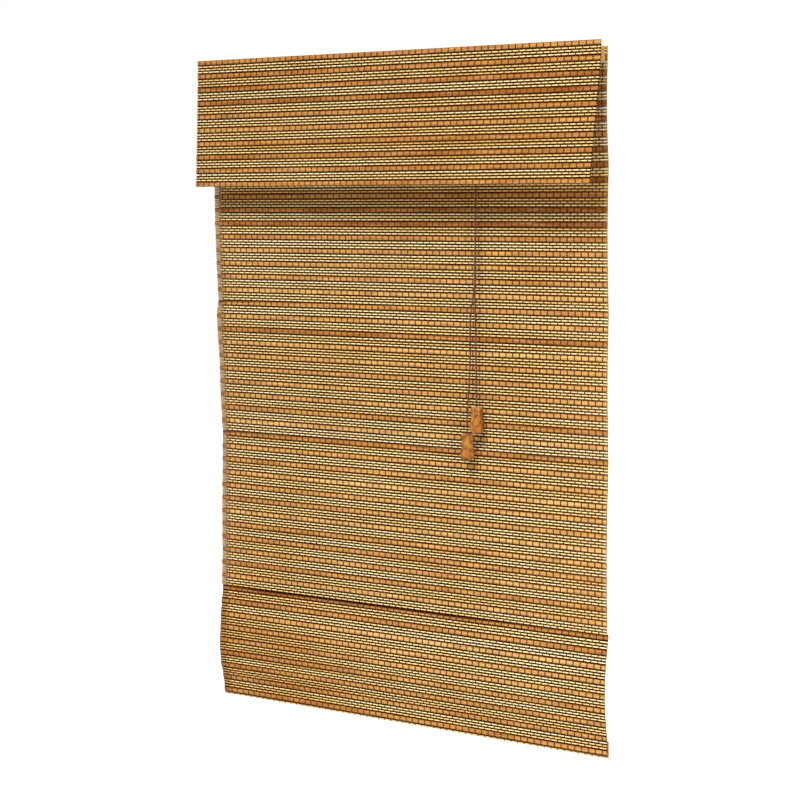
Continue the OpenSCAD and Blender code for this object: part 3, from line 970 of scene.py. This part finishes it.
def painted_gap_shadow(name, top, plane, hang, box, finish):
    """A glowing panel of painted shadow behind the weave, seen only by the camera through its gaps: it
    hangs as the wall does.
    """
    leave_nothing_selected()
    bpy.ops.mesh.primitive_grid_add(
        x_subdivisions=SHADOW_PANEL_ACROSS, y_subdivisions=SHADOW_PANEL_DOWN, size=1, rotation=(math.pi / 2, 0, 0)
    )
    dark = bpy.context.object
    dark.name = name
    bpy.ops.object.transform_apply(location=True, rotation=True, scale=True)
    points = points_of(dark)
    share = points[:, 0] + 0.5
    down = 0.5 - points[:, 2]
    left, right, upper, lower = box
    x = left + share * (right - left)
    depth = upper + down * (lower - upper)
    y = plane + hang(x, depth) + SHADOW_PANEL_BEHIND
    move_points(dark, np.stack([x, y, top - depth], axis=1))
    dark.visible_diffuse = False
    dark.visible_glossy = False
    dark.visible_transmission = False
    dark.visible_shadow = False
    dark.data.materials.append(finish)


def painted_shadow_finish(name, stops):
    """A painted shadow glowing in a colour by place along the wall, seen from the front and clear from
    behind.
    """
    dark = Finish(name, 0.9)
    glow = dark.add("ShaderNodeEmission")
    shares = [((x + VALANCE_W / 2) / VALANCE_W, colour) for x, colour in stops]
    across = dark.span(dark.along("X"), -VALANCE_W / 2, VALANCE_W / 2)
    dark.join(dark.ramp(across, shares), glow.inputs["Color"])
    clear = dark.add("ShaderNodeBsdfTransparent")
    facing = dark.add("ShaderNodeNewGeometry")
    sided = dark.add("ShaderNodeMixShader")
    dark.join(facing.outputs["Backfacing"], sided.inputs["Fac"])
    dark.join(glow.outputs[0], sided.inputs[1])
    dark.join(clear.outputs[0], sided.inputs[2])
    dark.join(sided.outputs[0], dark.tree.nodes["Material Output"].inputs["Surface"])
    return dark.material


def white_surroundings():
    world = bpy.data.worlds.new("white_studio")
    scene.world = world
    world.use_nodes = True
    tree = world.node_tree
    light = tree.nodes["Background"]
    light.inputs["Color"].default_value = (1, 1, 1, 1)
    light.inputs["Strength"].default_value = AMBIENT_LIGHT
    backdrop = tree.nodes.new("ShaderNodeBackground")
    backdrop.inputs["Color"].default_value = (1, 1, 1, 1)
    backdrop.inputs["Strength"].default_value = BACKDROP_LIGHT
    path = tree.nodes.new("ShaderNodeLightPath")
    seen = tree.nodes.new("ShaderNodeMath")
    seen.operation = "MAXIMUM"
    tree.links.new(path.outputs["Is Camera Ray"], seen.inputs[0])
    tree.links.new(path.outputs["Is Glossy Ray"], seen.inputs[1])
    mix = tree.nodes.new("ShaderNodeMixShader")
    tree.links.new(seen.outputs[0], mix.inputs["Fac"])
    tree.links.new(light.outputs[0], mix.inputs[1])
    tree.links.new(backdrop.outputs[0], mix.inputs[2])
    tree.links.new(mix.outputs[0], tree.nodes["World Output"].inputs["Surface"])


def sun(name, towards, strength, softness):
    bpy.ops.object.light_add(type="SUN", location=(0, 0, 2))
    lamp = bpy.context.object
    lamp.name = name
    lamp.rotation_euler = Vector(towards).to_track_quat("-Z", "Y").to_euler()
    lamp.data.energy = strength
    lamp.data.angle = math.radians(softness)


def soft_box(name, place, aim, size, power):
    bpy.ops.object.light_add(type="AREA", location=place)
    lamp = bpy.context.object
    lamp.name = name
    lamp.rotation_euler = (Vector(aim) - Vector(place)).to_track_quat("-Z", "Y").to_euler()
    lamp.data.size = size
    lamp.data.energy = power


# Painted shadow of a wall close behind the blind: near black in the middle, paler towards the mat's side
# edges, where light would reach that wall
SHADOW_DARK = (0.014, 0.004, 0.001)
DARK_PAINTED_SHADOW = painted_shadow_finish("painted_shadow_behind_gaps", [(-0.3, SHADOW_DARK), (0.3, SHADOW_DARK)])
EDGE_PAINTED_SHADOW = painted_shadow_finish(
    "painted_shadow_paler_at_edges",
    [
        (-0.3182, (0.500, 0.450, 0.360)),
        (-0.3110, (0.340, 0.280, 0.210)),
        (-0.3060, (0.090, 0.045, 0.020)),
        (-0.2800, (0.045, 0.014, 0.004)),
        (-0.2200, SHADOW_DARK),
        (0.1500, SHADOW_DARK),
        (0.2175, (0.052, 0.015, 0.004)),
        (0.2600, (0.092, 0.030, 0.009)),
        (0.3095, (0.150, 0.062, 0.023)),
        (0.3178, (0.300, 0.195, 0.120)),
    ],
)
# Boxes of the painted shadow behind each wall: left and right edge, upper and lower depth below the top
# edge
MAT_BOX = (-0.3182, 0.3178, 0.002, TUCK_LINE - 0.0001)
HEM_BOX = (-0.3182, 0.3178, TUCK_LINE, 0.905)
VALANCE_BOX = (-0.3237, 0.3233, 0.003, 0.173)

pale_floor()
painted_gap_shadow("painted_shadow_behind_mat", MAT_TOP, MAT_Y, shade_hang, MAT_BOX, EDGE_PAINTED_SHADOW)
painted_gap_shadow("painted_shadow_behind_hem", MAT_TOP, MAT_Y, shade_hang, HEM_BOX, DARK_PAINTED_SHADOW)
painted_gap_shadow("painted_shadow_behind_valance", VALANCE_TOP, VALANCE_Y, valance_hang, VALANCE_BOX, DARK_PAINTED_SHADOW)
white_surroundings()
sun("key_light", towards=(-0.10, 0.72, -0.76), strength=3.47, softness=24)
sun("back_fill", towards=(0.30, -0.85, -0.42), strength=1.1, softness=60)
soft_box("side_fill", place=(1.3, -0.9, -0.55), aim=(0.1, 0.0, -0.5), size=0.7, power=8.0)
